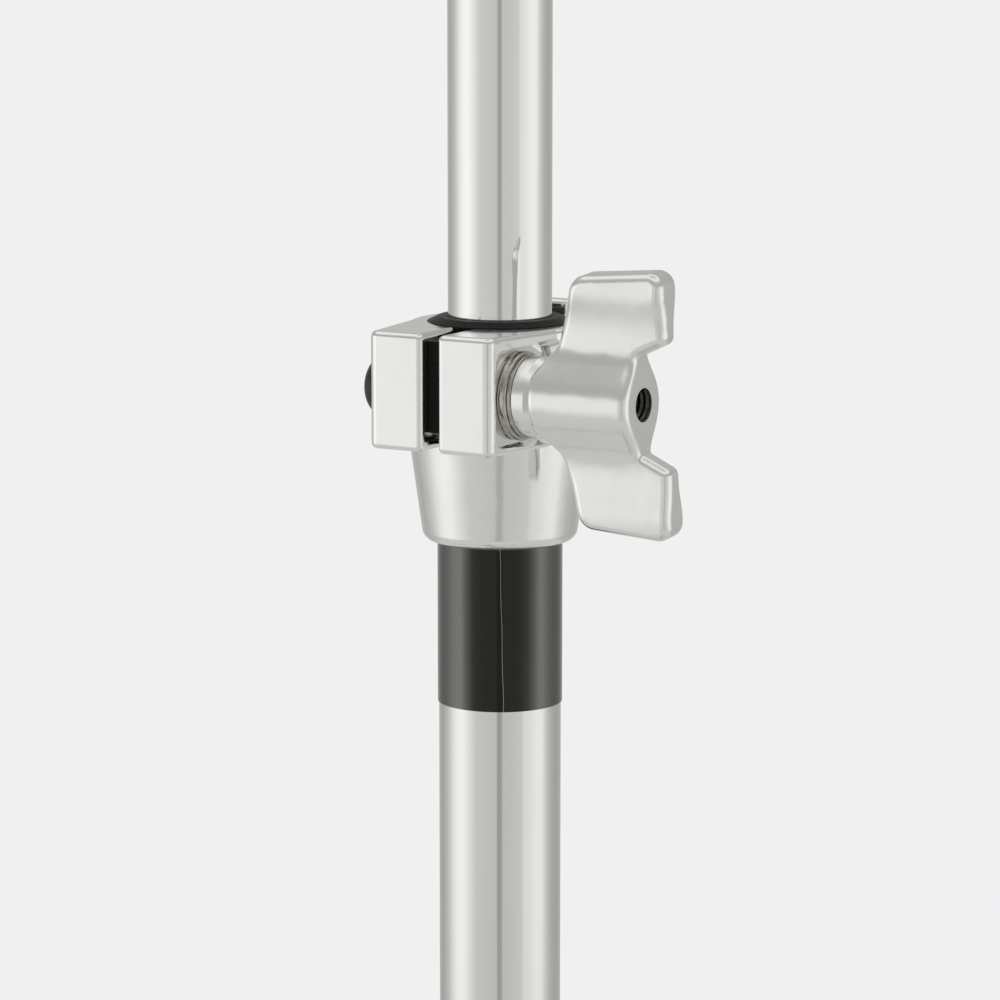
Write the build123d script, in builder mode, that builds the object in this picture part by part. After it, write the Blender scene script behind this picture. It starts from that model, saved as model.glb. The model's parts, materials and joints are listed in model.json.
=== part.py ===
from build123d import *

import os
from math import asin, cos, degrees, hypot, radians, sin, tan

# Hi-hat stand: telescoping tube with a split height clamp, direct-pull pedal and folding three-leg base.
# Frame: +Z up along the tube, origin on the floor under the tube's axis, the pedal towards -Y, millimetres.
# Pieces are grouped here as clamp, tubes, pedal frame, pedal, pull rod, legs, cymbal seat and clutch.

os.makedirs("parts", exist_ok=True)

# ---------------------------------------------------------------- driving dimensions
RUN = 0.05  # radial clearance of a running fit

# tubes
LOWER_R = 12.7
LOWER_WALL = 1.3
LOWER_BASE = 150.0
LOWER_TOP = 590.0
UPPER_R = 10.7
UPPER_WALL = 1.2
UPPER_BASE = 480.0
UPPER_TOP = 806.0
BAND_THICKNESS = 0.3
BAND_BASE = 531.0

# height clamp
CLAMP_BASE = 565.0
BLOCK_BASE = 586.6
CLAMP_TOP = 610.5
COLLAR_R_LOW = 15.8
COLLAR_R = 18.8
BLOCK_FRONT = -28.4
BLOCK_HALF = 14.1
BLOCK_SIDE = (17.9, -4.0)  # where the block's side runs into the collar
SLOT = 3.6
ROLL_PIN_Z = 575.0
ROLL_PIN_R = 1.5

# clamp bolt, washers and wing nut, along +X
BOLT_Y = -16.9
BOLT_Z = 598.0
BOLT_R = 3.9
BOLT_ROOT_R = 3.35
HEAD_SEAT = -15.6
HEAD_R = 6.6
POCKET_FLOOR = 14.0
WASHER_R = 9.0
WASHER_END = 16.0
SPRING_WASHER_END = 16.9
HUB_START = 17.0
NUT_LEAN = 5.0  # degrees that the wings stand off the vertical
WING_EDGE = [(19.6, 5), (24.6, 11), (28.9, 25.6), (48.9, 27.1), (48.8, 12.8), (42.4, 9.8)]
WING_RADII = [1.5, 6, 4, 3, 1.8, 0.8]
WING_SIDE = [
    (7.8, 0), (7.1, 3.4), (5.3, 6.6), (3.5, 9.6), (2.8, 13.5), (3.2, 18.5), (3.9, 22.5), (3.6, 25.4), (2.2, 28),
]
WING_ROUNDING = 1.8
HUB_R_NUT = 8.2
HUB_STRAIGHT = 2.6

# bushing
BUSH_R = 12.2
FLANGE_R = 14.9
FLANGE_SEAT = 609.3

# pedal frame
PAD = 2.5  # thickness of the rubber pads under the base
FRAME_HALF_DEPTH = 11.0
FRAME_HALF_WIDTH = 64.0
SOCKET_R = 18.5
SOCKET_TOP = 172.0
SOCKET_BOLT_Z = 161.0
TIE_X = 56.0
TIE_Z = 8.0
TIE_R = 2.5

# pedal
BOARD_ANGLE = 16.0
HEEL_Y = -262.0
HEEL_Z = 16.0
HEEL_PIN_R = 3.0
BOARD_T = 4.0
EAR_START = 39.0
EAR_END = 45.0
TOE_PIN_HEIGHT = 12.0  # above the board's hinge plane
TOE_PIN_R = 2.0

# chain and pull rod
PITCH = 12.7
CHAIN_PIN_R = 1.5
LINK_R = 5.0
ROD_R = 3.0
ROD_JOIN = 560.0
ROD_TOP = 1010.0
SEAT_BASE = 199.0
SEAT_TOP = 209.0
STUD_Z = 204.0
STUD_R = 2.0
SPRING_TOP = 275.0
KNOB_BASE = 184.0
KNOB_TOP = 202.0

# legs
HUB_BASE = 262.0
HUB_TOP = 296.0
HUB_R = 19.0
PIVOT_RADIUS = 31.0
PIVOT_Z = 276.0
PIVOT_R = 2.5
LEG_LENGTH = 400.0
LEG_WIDTH = 15.0
LEG_HEIGHT = 13.0
LEG_WALL = 1.6
LEG_ROOT = 9.0
FOOT_R = 15.5
FOOT_Z = 15.1
LEG_AZIMUTHS = {"rear": 90.0, "right": -30.0, "left": 210.0}
HUB_BOLT_AZIMUTH = 30.0
HUB_BOLT_Z = 287.0

# cymbal seat and clutch
CUP_BASE = 824.0
CUP_TOP = 830.0
FELT_TOP = 840.0
BOSS_TOP = 847.0
BOSS_R = 7.0
TILT_X = -17.0
TILT_Z = 820.6
TILTER_X = 19.0
CLUTCH_BASE = 905.0
CLUTCH_STEM_R = 5.5
CLUTCH_SHOULDER = 951.0
CLUTCH_TOP = 977.0
CLUTCH_SCREW_Z = 964.0

# ---------------------------------------------------------------- derived positions
tilt = radians(BOARD_ANGLE)
TOE_PIN_ALONG = (-HEEL_Y + TOE_PIN_HEIGHT * sin(tilt)) / cos(tilt)
TOE_PIN_Z = HEEL_Z + TOE_PIN_ALONG * sin(tilt) + TOE_PIN_HEIGHT * cos(tilt)
YOKE_PIN_Z = TOE_PIN_Z + 3 * PITCH
ROD_BASE = YOKE_PIN_Z + 10
LEG_SLOPE = degrees(asin((PIVOT_Z - FOOT_Z) / LEG_LENGTH))
HEEL_END = -(PIVOT_RADIUS + LEG_LENGTH * cos(radians(LEG_SLOPE)) + FOOT_R)


def save(builder, name):
    """Labels a finished piece and writes its STEP file."""
    builder.part.label = name
    export_step(builder.part, f"parts/{name}.step")


def ring(inner, outer, base, top):
    """A tube, disc or washer round the stand's axis."""
    with BuildPart() as piece:
        with BuildSketch(Plane.XY.offset(base)):
            Circle(outer)
            if inner > 0:
                Circle(inner, mode=Mode.SUBTRACT)
        extrude(amount=top - base)
    return piece


def turned(profile):
    """A solid turned round the stand's axis from (radius, z) points."""
    with BuildPart() as piece:
        with BuildSketch(Plane.XZ):
            with BuildLine():
                Polyline(*profile, close=True)
            make_face()
        revolve(axis=Axis.Z)
    return piece


def radial_plane(azimuth, distance, height):
    """A plane facing outwards from the stand's axis, with its y axis up."""
    angle = radians(azimuth)
    outward = Vector(cos(angle), sin(angle), 0)
    sideways = Vector(-sin(angle), cos(angle), 0)
    return Plane(origin=outward * distance + Vector(0, 0, height), x_dir=sideways, z_dir=outward)


def plug(plane, radius, length):
    """A round rod that starts at a plane and runs along its normal."""
    with BuildPart() as piece:
        with BuildSketch(plane):
            Circle(radius)
        extrude(amount=length)
    return piece


def wing(plane, start, shank):
    """A small wing screw's handle and shank, its shank towards the plane's origin."""
    with BuildPart() as piece:
        with BuildSketch(plane):
            Circle(shank)
        extrude(amount=start + 1)
        with BuildSketch(plane.offset(start)):
            Circle(5.5)
        extrude(amount=9)
        blade_plane = Plane(origin=plane.offset(start).origin, x_dir=plane.z_dir, z_dir=plane.x_dir)
        with BuildSketch(blade_plane):
            with BuildLine():
                FilletPolyline(
                    (2, -5), (2, 5), (7, 15), (17, 16), (15, 6), (11, 4), (11, -4), (15, -6), (17, -16), (7, -15),
                    radius=1.4, close=True,
                )
            make_face()
        extrude(amount=1.8, both=True)
    return piece


# ---------------------------------------------------------------- tubes
with BuildPart() as lower_tube:
    with BuildSketch(Plane.XY.offset(LOWER_BASE)):
        Circle(LOWER_R)
        Circle(LOWER_R - LOWER_WALL, mode=Mode.SUBTRACT)
    extrude(amount=LOWER_TOP - LOWER_BASE)
    with BuildSketch(Plane.YZ):  # slots for the tension studs
        with Locations((0, STUD_Z)):
            SlotOverall(24, 2 * STUD_R + 0.6, rotation=90)
    extrude(amount=LOWER_R + 2, both=True, mode=Mode.SUBTRACT)
    with BuildSketch(Plane.XZ.offset(-LOWER_R - 2)):
        with Locations((0, ROLL_PIN_Z)):
            Circle(ROLL_PIN_R)
    extrude(amount=6, mode=Mode.SUBTRACT)
save(lower_tube, "lower_tube")

save(ring(LOWER_R, LOWER_R + BAND_THICKNESS, BAND_BASE, CLAMP_BASE), "label_band")

with BuildPart() as upper_tube:
    with BuildSketch(Plane.XY.offset(UPPER_BASE)):
        Circle(UPPER_R)
        Circle(UPPER_R - UPPER_WALL, mode=Mode.SUBTRACT)
    extrude(amount=UPPER_TOP - UPPER_BASE)
save(upper_tube, "upper_tube")

guide_rim = LOWER_R - LOWER_WALL - RUN
guide_plug = UPPER_R - UPPER_WALL
tube_guide = turned(
    [
        (4.5, UPPER_BASE - 8),
        (guide_rim, UPPER_BASE - 8),
        (guide_rim, UPPER_BASE),
        (guide_plug, UPPER_BASE),
        (guide_plug, UPPER_BASE + 14),
        (4.5, UPPER_BASE + 14),
    ]
)
save(tube_guide, "tube_guide")

# ---------------------------------------------------------------- height clamp
with BuildPart() as block:
    with BuildSketch(Plane.XY.offset(BLOCK_BASE)):
        with BuildLine():
            Polyline(
                (-BLOCK_HALF, BLOCK_FRONT),
                (BLOCK_HALF, BLOCK_FRONT),
                BLOCK_SIDE,
                (-BLOCK_SIDE[0], BLOCK_SIDE[1]),
                close=True,
            )
        make_face()
        fillet(vertices().group_by(Axis.Y)[0], 2)
        Circle(COLLAR_R)
        with Locations((0, BLOCK_FRONT / 2)):
            Rectangle(SLOT, -BLOCK_FRONT + 1, mode=Mode.SUBTRACT)
        fillet(vertices().group_by(Axis.Y)[0].sort_by(Axis.X)[1:3], 1.2)
    extrude(amount=CLAMP_TOP - BLOCK_BASE)
    fillet(block.faces().sort_by(Axis.Z)[-1].edges(), 1.2)
    fillet([edge for edge in block.faces().sort_by(Axis.Z)[0].edges() if edge.center().Y < -4.5], 1.2)

with BuildPart() as lug:  # index lug at the rear of the clamp's top
    with BuildSketch(Plane.XY.offset(CLAMP_TOP - 3)):
        with Locations((0, 16.8)):
            RectangleRounded(15, 3.6, 1.4)
    extrude(amount=6.2)
    fillet(lug.faces().sort_by(Axis.Z)[-1].edges(), 0.9)

with BuildPart() as height_clamp:
    with BuildSketch(Plane.XZ):
        with BuildLine():
            Polyline(
                (0, CLAMP_BASE),
                (COLLAR_R_LOW, CLAMP_BASE),
                (COLLAR_R, BLOCK_BASE),
                (0, BLOCK_BASE),
                close=True,
            )
        make_face()
    revolve(axis=Axis.Z)
    fillet(height_clamp.edges().filter_by(GeomType.CIRCLE).sort_by(Axis.Z)[0], 2.6)
    add(block.part)
    add(lug.part)
    with BuildSketch(Plane.XY.offset(CLAMP_BASE)):
        Circle(LOWER_R)
    extrude(amount=LOWER_TOP - CLAMP_BASE, mode=Mode.SUBTRACT)
    with BuildSketch(Plane.XY.offset(LOWER_TOP)):
        Circle(BUSH_R)
    extrude(amount=30, mode=Mode.SUBTRACT)
    with BuildSketch(Plane.XY.offset(FLANGE_SEAT)):
        Circle(FLANGE_R + 0.1)
    extrude(amount=10, mode=Mode.SUBTRACT)
    with BuildSketch(Plane.YZ.offset(-30)):
        with Locations((BOLT_Y, BOLT_Z)):
            Circle(BOLT_R + 0.15)
    extrude(amount=60, mode=Mode.SUBTRACT)
    with BuildSketch(Plane.YZ.offset(POCKET_FLOOR)):  # washer pocket
        with Locations((BOLT_Y, BOLT_Z)):
            RectangleRounded(19, 19, 2)
    with BuildSketch(Plane.YZ.offset(POCKET_FLOOR + 8)):
        with Locations((BOLT_Y, BOLT_Z)):
            RectangleRounded(25, 25, 2)
    loft(mode=Mode.SUBTRACT)
    with BuildSketch(Plane.YZ.offset(HEAD_SEAT)):  # seat of the bolt's head
        with Locations((BOLT_Y, BOLT_Z)):
            Circle(HEAD_R + 0.2)
    extrude(amount=-8, mode=Mode.SUBTRACT)
    with BuildSketch(Plane.XZ.offset(-24)):
        with Locations((0, ROLL_PIN_Z)):
            Circle(ROLL_PIN_R)
    extrude(amount=14, mode=Mode.SUBTRACT)
save(height_clamp, "height_clamp")

with BuildPart() as clamp_bushing:
    with BuildSketch(Plane.XZ):
        with BuildLine():
            bore = UPPER_R + RUN
            Polyline(
                (bore, LOWER_TOP + 0.3),
                (BUSH_R, LOWER_TOP + 0.3),
                (BUSH_R, FLANGE_SEAT),
                (FLANGE_R, FLANGE_SEAT),
                (FLANGE_R, CLAMP_TOP + 0.1),
                (FLANGE_R - 2.2, CLAMP_TOP + 1.1),
                (bore + 0.3, CLAMP_TOP + 1.1),
                (bore, CLAMP_TOP + 0.8),
                close=True,
            )
        make_face()
    revolve(axis=Axis.Z)
    key_front = BLOCK_FRONT + 2.6
    key_back = -BUSH_R + 0.6
    key_height = FLANGE_SEAT - LOWER_TOP - 0.8
    with Locations((0, (key_front + key_back) / 2, (LOWER_TOP + FLANGE_SEAT) / 2)):
        Box(SLOT - 0.2, key_back - key_front, key_height)
    with BuildSketch(Plane.YZ):
        with Locations((BOLT_Y, BOLT_Z)):
            Circle(BOLT_R + 0.2)
    extrude(amount=5, both=True, mode=Mode.SUBTRACT)
save(clamp_bushing, "clamp_bushing")

with BuildPart() as clamp_bolt:
    with BuildSketch(Plane.YZ.offset(HEAD_SEAT)):
        with Locations((BOLT_Y, BOLT_Z)):
            Circle(HEAD_R)
    extrude(amount=-4.2)
    fillet(clamp_bolt.faces().sort_by(Axis.X)[0].edges(), 3.4)
    with BuildSketch(Plane.YZ.offset(HEAD_SEAT)):
        with Locations((BOLT_Y, BOLT_Z)):
            Circle(BOLT_R)
    extrude(amount=SPRING_WASHER_END - HEAD_SEAT)
    with BuildSketch(Plane.YZ.offset(SPRING_WASHER_END)):
        with Locations((BOLT_Y, BOLT_Z)):
            Circle(BOLT_ROOT_R)
    extrude(amount=14)
    chamfer(clamp_bolt.faces().sort_by(Axis.X)[-1].edges(), 0.8)
save(clamp_bolt, "clamp_bolt")


def bolt_washer(outer, start, end, edge):
    """A washer with rounded rims on the clamp's bolt."""
    with BuildPart() as piece:
        with BuildSketch(Plane.YZ.offset(start)):
            with Locations((BOLT_Y, BOLT_Z)):
                Circle(outer)
                Circle(BOLT_R + RUN, mode=Mode.SUBTRACT)
        extrude(amount=end - start)
        fillet(piece.edges().filter_by(GeomType.CIRCLE).sort_by(SortBy.RADIUS)[-2:], edge)
    return piece


save(bolt_washer(WASHER_R, POCKET_FLOOR, WASHER_END, 0.6), "clamp_washer")
save(bolt_washer(WASHER_R - 0.5, WASHER_END, SPRING_WASHER_END, 0.3), "spring_washer")

lean = radians(NUT_LEAN)
wing_plane = Plane(origin=(0, BOLT_Y, BOLT_Z), x_dir=(1, 0, 0), z_dir=(0, -cos(lean), -sin(lean)))
end_plane = Plane(origin=(0, BOLT_Y, BOLT_Z), x_dir=(0, cos(lean), sin(lean)), z_dir=(1, 0, 0))

with BuildPart() as height_wing_nut:
    with BuildSketch(wing_plane):
        with BuildLine():
            lower_edge = [(along, -out) for along, out in reversed(WING_EDGE)]
            FilletPolyline(*WING_EDGE, *lower_edge, radius=WING_RADII + WING_RADII[::-1], close=True)
        make_face()
    extrude(amount=9, both=True)
    with BuildSketch(end_plane.offset(15)):
        with BuildLine():
            sides = [(x, y) for x, y in WING_SIDE]
            Spline(*sides, tangents=((0, 1), (-0.8, 1)))
            Line(sides[-1], (-sides[-1][0], sides[-1][1]))
            Spline(*[(-x, y) for x, y in sides], tangents=((0, 1), (0.8, 1)))
            Line(sides[0], (-sides[0][0], 0))
        make_face()
        mirror(about=Plane.XZ)
    extrude(amount=40, mode=Mode.INTERSECT)
    fillet(height_wing_nut.edges(), WING_ROUNDING)
    with BuildSketch(end_plane.offset(HUB_START)):
        Circle(HUB_R_NUT)
    extrude(amount=HUB_STRAIGHT)
    with BuildSketch(end_plane.offset(HUB_START + HUB_STRAIGHT)):
        Circle(HUB_R_NUT)
    with BuildSketch(end_plane.offset(HUB_START + HUB_STRAIGHT + 4)):
        Circle(6)
    loft()
    with BuildSketch(end_plane.offset(10)):
        Circle(BOLT_ROOT_R + RUN)
    extrude(amount=40, mode=Mode.SUBTRACT)
save(height_wing_nut, "height_wing_nut")

with BuildPart() as clamp_roll_pin:
    with BuildSketch(Plane.XZ.offset(-LOWER_R + LOWER_WALL)):
        with Locations((0, ROLL_PIN_Z)):
            Circle(ROLL_PIN_R)
            Circle(0.8, mode=Mode.SUBTRACT)
    extrude(amount=-5)
save(clamp_roll_pin, "clamp_roll_pin")

# ---------------------------------------------------------------- pedal frame
with BuildPart() as base_frame:
    with BuildSketch(Plane.XZ):
        with BuildLine():
            FilletPolyline(
                (-FRAME_HALF_WIDTH, PAD),
                (FRAME_HALF_WIDTH, PAD),
                (FRAME_HALF_WIDTH, 96),
                (26, 142),
                (-26, 142),
                (-FRAME_HALF_WIDTH, 96),
                radius=[3, 3, 16, 10, 10, 16],
                close=True,
            )
        make_face()
        with BuildLine():
            FilletPolyline(
                (-50, 11),
                (50, 11),
                (50, 94),
                (20, 126),
                (-20, 126),
                (-50, 94),
                radius=[5, 5, 10, 6, 6, 10],
                close=True,
            )
        make_face(mode=Mode.SUBTRACT)
    extrude(amount=FRAME_HALF_DEPTH, both=True)
    with BuildSketch(Plane.XY.offset(130)):
        Circle(SOCKET_R)
    extrude(amount=SOCKET_TOP - 130)
    fillet(base_frame.faces().sort_by(Axis.Z)[-1].edges(), 2)
    with BuildSketch(Plane.XZ):
        with Locations((0, SOCKET_BOLT_Z)):
            Circle(8)
    extrude(amount=-21)
    with BuildSketch(Plane.XY.offset(LOWER_BASE)):
        Circle(LOWER_R)
    extrude(amount=60, mode=Mode.SUBTRACT)
    with BuildSketch(Plane.XY.offset(110)):
        Circle(9)
    extrude(amount=60, mode=Mode.SUBTRACT)
    with BuildSketch(Plane.XZ.offset(-LOWER_R)):
        with Locations((0, SOCKET_BOLT_Z)):
            Circle(3)
    extrude(amount=-20, mode=Mode.SUBTRACT)
    with BuildSketch(Plane.XZ.offset(5)):
        with Locations((-TIE_X, TIE_Z), (TIE_X, TIE_Z)):
            Circle(TIE_R)
    extrude(amount=10, mode=Mode.SUBTRACT)
save(base_frame, "base_frame")

with BuildPart() as socket_bolt:
    with BuildSketch(Plane.XZ.offset(-LOWER_R)):
        with Locations((0, SOCKET_BOLT_Z)):
            Circle(3)
    extrude(amount=-8.3)
    with BuildSketch(Plane.XZ.offset(-21)):
        with Locations((0, SOCKET_BOLT_Z)):
            RegularPolygon(5.5, 6)
    extrude(amount=-4.5)
save(socket_bolt, "socket_bolt")

with BuildPart() as frame_pads:
    with BuildSketch(Plane.XY):
        with Locations((-50, 0), (50, 0)):
            RectangleRounded(26, 24, 4)
    extrude(amount=PAD)
save(frame_pads, "frame_pads")

for side, sign in (("left", -1), ("right", 1)):
    tie = plug(Plane(origin=(sign * TIE_X, -5, TIE_Z), x_dir=(1, 0, 0), z_dir=(0, -1, 0)), TIE_R, 243)
    save(tie, f"tie_rod_{side}")

# ---------------------------------------------------------------- pedal
with BuildPart() as heel_plate:
    with BuildSketch(Plane.YZ):
        with BuildLine():
            FilletPolyline(
                (HEEL_END, PAD),
                (-232, PAD),
                (-232, PAD + 4),
                (-274, PAD + 4),
                (-280, 14.5),
                (-334, 10.5),
                (HEEL_END, 6.5),
                radius=[1, 1, 2, 2, 3, 6, 1.2],
                close=True,
            )
        make_face()
    extrude(amount=48, both=True)
    with Locations((-54, -247, 8.5), (54, -247, 8.5)):
        Box(13, 30, 12)
    for plane_x in (EAR_START, -EAR_END):
        with BuildSketch(Plane.YZ.offset(plane_x)):
            with BuildLine():
                FilletPolyline(
                    (HEEL_Y - 9, PAD + 1),
                    (HEEL_Y + 9, PAD + 1),
                    (HEEL_Y + 7.5, HEEL_Z + 7.5),
                    (HEEL_Y - 7.5, HEEL_Z + 7.5),
                    radius=[0.5, 0.5, 6, 6],
                    close=True,
                )
            make_face()
        extrude(amount=EAR_END - EAR_START)
    with BuildSketch(Plane.YZ):
        with Locations((HEEL_Y, HEEL_Z)):
            Circle(HEEL_PIN_R)
    extrude(amount=EAR_END + 1, both=True, mode=Mode.SUBTRACT)
    with Locations((0, HEEL_Y, HEEL_Z)):  # room for the board's knuckle
        Cylinder(7.6, 2 * EAR_START, rotation=(0, 90, 0), mode=Mode.SUBTRACT)
    with BuildSketch(Plane.XZ.offset(230)):
        with Locations((-TIE_X, TIE_Z), (TIE_X, TIE_Z)):
            Circle(TIE_R)
    extrude(amount=18, mode=Mode.SUBTRACT)
save(heel_plate, "heel_plate")

with BuildPart() as heel_pad:
    with BuildSketch(Plane.XY):
        with Locations((0, -288.5)):
            RectangleRounded(92, 109, 6)
    extrude(amount=PAD)
save(heel_pad, "heel_pad")

with BuildPart() as heel_pin:
    with BuildSketch(Plane.YZ):
        with Locations((HEEL_Y, HEEL_Z)):
            Circle(HEEL_PIN_R)
    extrude(amount=EAR_END, both=True)
save(heel_pin, "heel_pin")

board_plane = Plane(origin=(0, HEEL_Y, HEEL_Z), x_dir=(1, 0, 0), z_dir=(0, -sin(tilt), cos(tilt)))
BOARD_EDGE = [(38, 0), (38, 14), (45, 34), (45, 150), (38, 262), (30, 290), (12, 297)]

with BuildPart() as footboard:
    with BuildSketch(board_plane):
        with BuildLine():
            other = [(-x, y) for x, y in reversed(BOARD_EDGE)]
            bends = [1, 6, 12, 60, 40, 12, 8]
            FilletPolyline(*BOARD_EDGE, *other, radius=bends + bends[::-1], close=True)
        make_face()
    extrude(amount=BOARD_T)
    with BuildSketch(board_plane):
        with Locations((-28, 150), (28, 150)):
            Rectangle(3, 262)
    extrude(amount=-7)
    with BuildSketch(board_plane):
        with Locations((0, 24), (0, 86), (0, 148), (0, 210)):
            Rectangle(58, 3)
    extrude(amount=-4)
    with Locations((0, HEEL_Y, HEEL_Z)):
        Cylinder(7, 2 * 38.5, rotation=(0, 90, 0))
        Cylinder(HEEL_PIN_R + RUN, 80, rotation=(0, 90, 0), mode=Mode.SUBTRACT)
save(footboard, "footboard")

with BuildPart() as toe_clip:
    with BuildSketch(board_plane.offset(BOARD_T)):
        with Locations((0, TOE_PIN_ALONG - 2)):
            RectangleRounded(36, 26, 4)
    extrude(amount=2)
    for plane_x in (4.5, -7.5):
        ear_plane = Plane(origin=(plane_x, HEEL_Y, HEEL_Z), x_dir=board_plane.y_dir, z_dir=(1, 0, 0))
        with BuildSketch(ear_plane):
            with Locations((TOE_PIN_ALONG, TOE_PIN_HEIGHT)):
                Circle(LINK_R)
            with Locations((TOE_PIN_ALONG, (TOE_PIN_HEIGHT + BOARD_T + 1) / 2)):
                Rectangle(2 * LINK_R, TOE_PIN_HEIGHT - BOARD_T - 1)
        extrude(amount=3)
    with BuildSketch(Plane.YZ):
        with Locations((0, TOE_PIN_Z)):
            Circle(TOE_PIN_R)
    extrude(amount=9, both=True, mode=Mode.SUBTRACT)
save(toe_clip, "toe_clip")

with BuildPart() as toe_pin:
    with BuildSketch(Plane.YZ):
        with Locations((0, TOE_PIN_Z)):
            Circle(TOE_PIN_R)
    extrude(amount=9, both=True)
save(toe_pin, "toe_pin")

# ---------------------------------------------------------------- chain


def chain_plates(inner, outer, upper_z, lower_z, hole_upper, hole_lower):
    """A pair of link plates between two chain pins."""
    with BuildPart() as piece:
        for start in (inner, -outer):
            with BuildSketch(Plane.YZ.offset(start)):
                with Locations((0, upper_z), (0, lower_z)):
                    Circle(LINK_R)
                with Locations((0, (upper_z + lower_z) / 2)):
                    Rectangle(1.5 * LINK_R, upper_z - lower_z)
                with Locations((0, upper_z)):
                    Circle(hole_upper, mode=Mode.SUBTRACT)
                with Locations((0, lower_z)):
                    Circle(hole_lower, mode=Mode.SUBTRACT)
            extrude(amount=outer - inner)
    return piece


def cross_pin(piece, z, radius, half, bore=0.0):
    """Adds a pin, or a bush with a bore, across the chain to a link."""
    with BuildPart() as finished:
        add(piece.part)
        with BuildSketch(Plane.YZ):
            with Locations((0, z)):
                Circle(radius)
                if bore > 0:
                    Circle(bore, mode=Mode.SUBTRACT)
        extrude(amount=half, both=True)
    return finished


second_z = YOKE_PIN_Z - PITCH
third_z = second_z - PITCH
upper_link = chain_plates(1.95, 3.4, YOKE_PIN_Z, second_z, CHAIN_PIN_R, CHAIN_PIN_R)
upper_link = cross_pin(upper_link, YOKE_PIN_Z, CHAIN_PIN_R, 4)
save(cross_pin(upper_link, second_z, CHAIN_PIN_R, 4), "chain_link_upper")

bush_bore = CHAIN_PIN_R + RUN
middle_link = chain_plates(0.7, 1.85, second_z, third_z, bush_bore, bush_bore)
middle_link = cross_pin(middle_link, second_z, 2.7, 1, bush_bore)
save(cross_pin(middle_link, third_z, 2.7, 1, bush_bore), "chain_link_middle")

lower_link = chain_plates(1.95, 3.4, third_z, TOE_PIN_Z, CHAIN_PIN_R, TOE_PIN_R + 1.2)
save(cross_pin(lower_link, third_z, CHAIN_PIN_R, 4), "chain_link_lower")

# ---------------------------------------------------------------- pull rod
with BuildPart() as rod_yoke:
    with BuildSketch(Plane.XY.offset(YOKE_PIN_Z + 6.5)):
        Circle(7)
    extrude(amount=15)
    fillet(rod_yoke.faces().sort_by(Axis.Z)[-1].edges(), 1.5)
    with BuildSketch(Plane.YZ):
        with Locations((0, YOKE_PIN_Z)):
            Circle(LINK_R)
        with Locations((0, YOKE_PIN_Z + 4)):
            Rectangle(2 * LINK_R, 8)
    extrude(amount=1.75, both=True)
    with BuildSketch(Plane.YZ):
        with Locations((0, YOKE_PIN_Z)):
            Circle(CHAIN_PIN_R + RUN)
    extrude(amount=3, both=True, mode=Mode.SUBTRACT)
    with BuildSketch(Plane.XY.offset(ROD_BASE)):
        Circle(ROD_R)
    extrude(amount=20, mode=Mode.SUBTRACT)
save(rod_yoke, "rod_yoke")

save(ring(0, ROD_R, ROD_BASE, ROD_JOIN), "lower_pull_rod")
with BuildPart() as upper_pull_rod:
    with BuildSketch(Plane.XY.offset(ROD_JOIN)):
        Circle(ROD_R)
    extrude(amount=ROD_TOP - ROD_JOIN)
    chamfer(upper_pull_rod.faces().sort_by(Axis.Z)[-1].edges(), 0.8)
save(upper_pull_rod, "upper_pull_rod")
save(ring(ROD_R, 5, ROD_JOIN - 15, ROD_JOIN + 15), "rod_coupling")

save(ring(ROD_R, 9, SPRING_TOP, SPRING_TOP + 6), "rod_collar")

with BuildPart() as return_spring:
    wire = 0.9
    with BuildLine():
        rise = SPRING_TOP - SEAT_TOP - 2 * wire - 0.2
        coil = Helix(pitch=7, height=rise, radius=7, center=(0, 0, SEAT_TOP + wire + 0.1))
    with BuildSketch(Plane(origin=coil @ 0, z_dir=coil % 0)):
        Circle(wire)
    sweep(is_frenet=True)
save(return_spring, "return_spring")

with BuildPart() as spring_seat:
    with BuildSketch(Plane.XY.offset(SEAT_BASE)):
        Circle(LOWER_R - LOWER_WALL - RUN)
        Circle(ROD_R + 0.3, mode=Mode.SUBTRACT)
    extrude(amount=SEAT_TOP - SEAT_BASE)
    with BuildSketch(Plane.YZ):
        with Locations((0, STUD_Z)):
            Circle(STUD_R)
    extrude(amount=14, both=True, mode=Mode.SUBTRACT)
save(spring_seat, "spring_seat")
with BuildPart() as tension_studs:
    for azimuth in (0, 180):
        with BuildSketch(radial_plane(azimuth, 4.5, STUD_Z)):
            Circle(STUD_R)
        extrude(amount=12.5)
save(tension_studs, "tension_studs")

with BuildPart() as tension_knob:
    with BuildSketch(Plane.XY.offset(KNOB_BASE)):
        Circle(20)
        with PolarLocations(21.5, 12):
            Circle(3.2, mode=Mode.SUBTRACT)
        Circle(LOWER_R + RUN, mode=Mode.SUBTRACT)
    extrude(amount=KNOB_TOP - KNOB_BASE)
save(tension_knob, "tension_knob")

# ---------------------------------------------------------------- legs


def leg_plane(azimuth):
    """The plane across a leg at its pivot: x along the hinge pin, z down the leg."""
    angle = radians(azimuth)
    slope = radians(LEG_SLOPE)
    outward = Vector(cos(angle), sin(angle), 0)
    tangent = Vector(-sin(angle), cos(angle), 0)
    down = outward * cos(slope) - Vector(0, 0, sin(slope))
    pivot = outward * PIVOT_RADIUS + Vector(0, 0, PIVOT_Z)
    return Plane(origin=pivot, x_dir=tangent, z_dir=down)


def pin_plane(azimuth):
    """The plane through a leg's middle, its normal along the hinge pin."""
    across = leg_plane(azimuth)
    return Plane(origin=across.origin, x_dir=across.z_dir, z_dir=across.x_dir)


ear_inner = LEG_WIDTH / 2 + 0.3
ear_outer = ear_inner + 3.4
slope_tan = tan(radians(LEG_SLOPE))
ledge_r = 23.5
ledge_z = PIVOT_Z - LEG_HEIGHT / 2 / cos(radians(LEG_SLOPE)) - (ledge_r - PIVOT_RADIUS) * slope_tan - 0.08

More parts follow.
